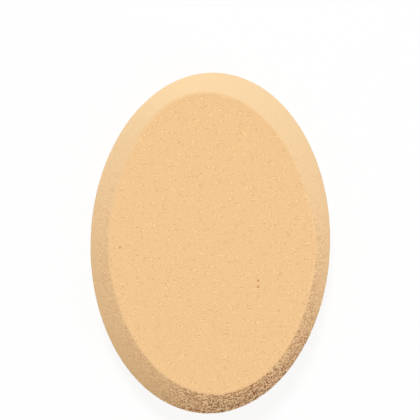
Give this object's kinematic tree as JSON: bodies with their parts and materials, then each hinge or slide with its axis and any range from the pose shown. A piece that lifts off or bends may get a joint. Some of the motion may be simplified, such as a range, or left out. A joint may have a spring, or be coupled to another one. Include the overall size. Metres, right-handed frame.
{
  "type": "makeup sponge",
  "caption": "Flat oval makeup sponge of fine open-cell foam, with level faces, ground bevels and a narrow blunt rim, for spreading foundation by hand.",
  "frame": {"origin": "middle of the back face, on the surface that the sponge lies on", "axes": "+Z out of the front face, +Y along the oval's length, +X across it"},
  "size_m": [0.0492, 0.07, 0.011],
  "materials": {
    "foam": "matt open-cell foam, peach"
  },
  "bodies": {
    "root": {"sponge_body": "foam"}
  },
  "joints": []
}
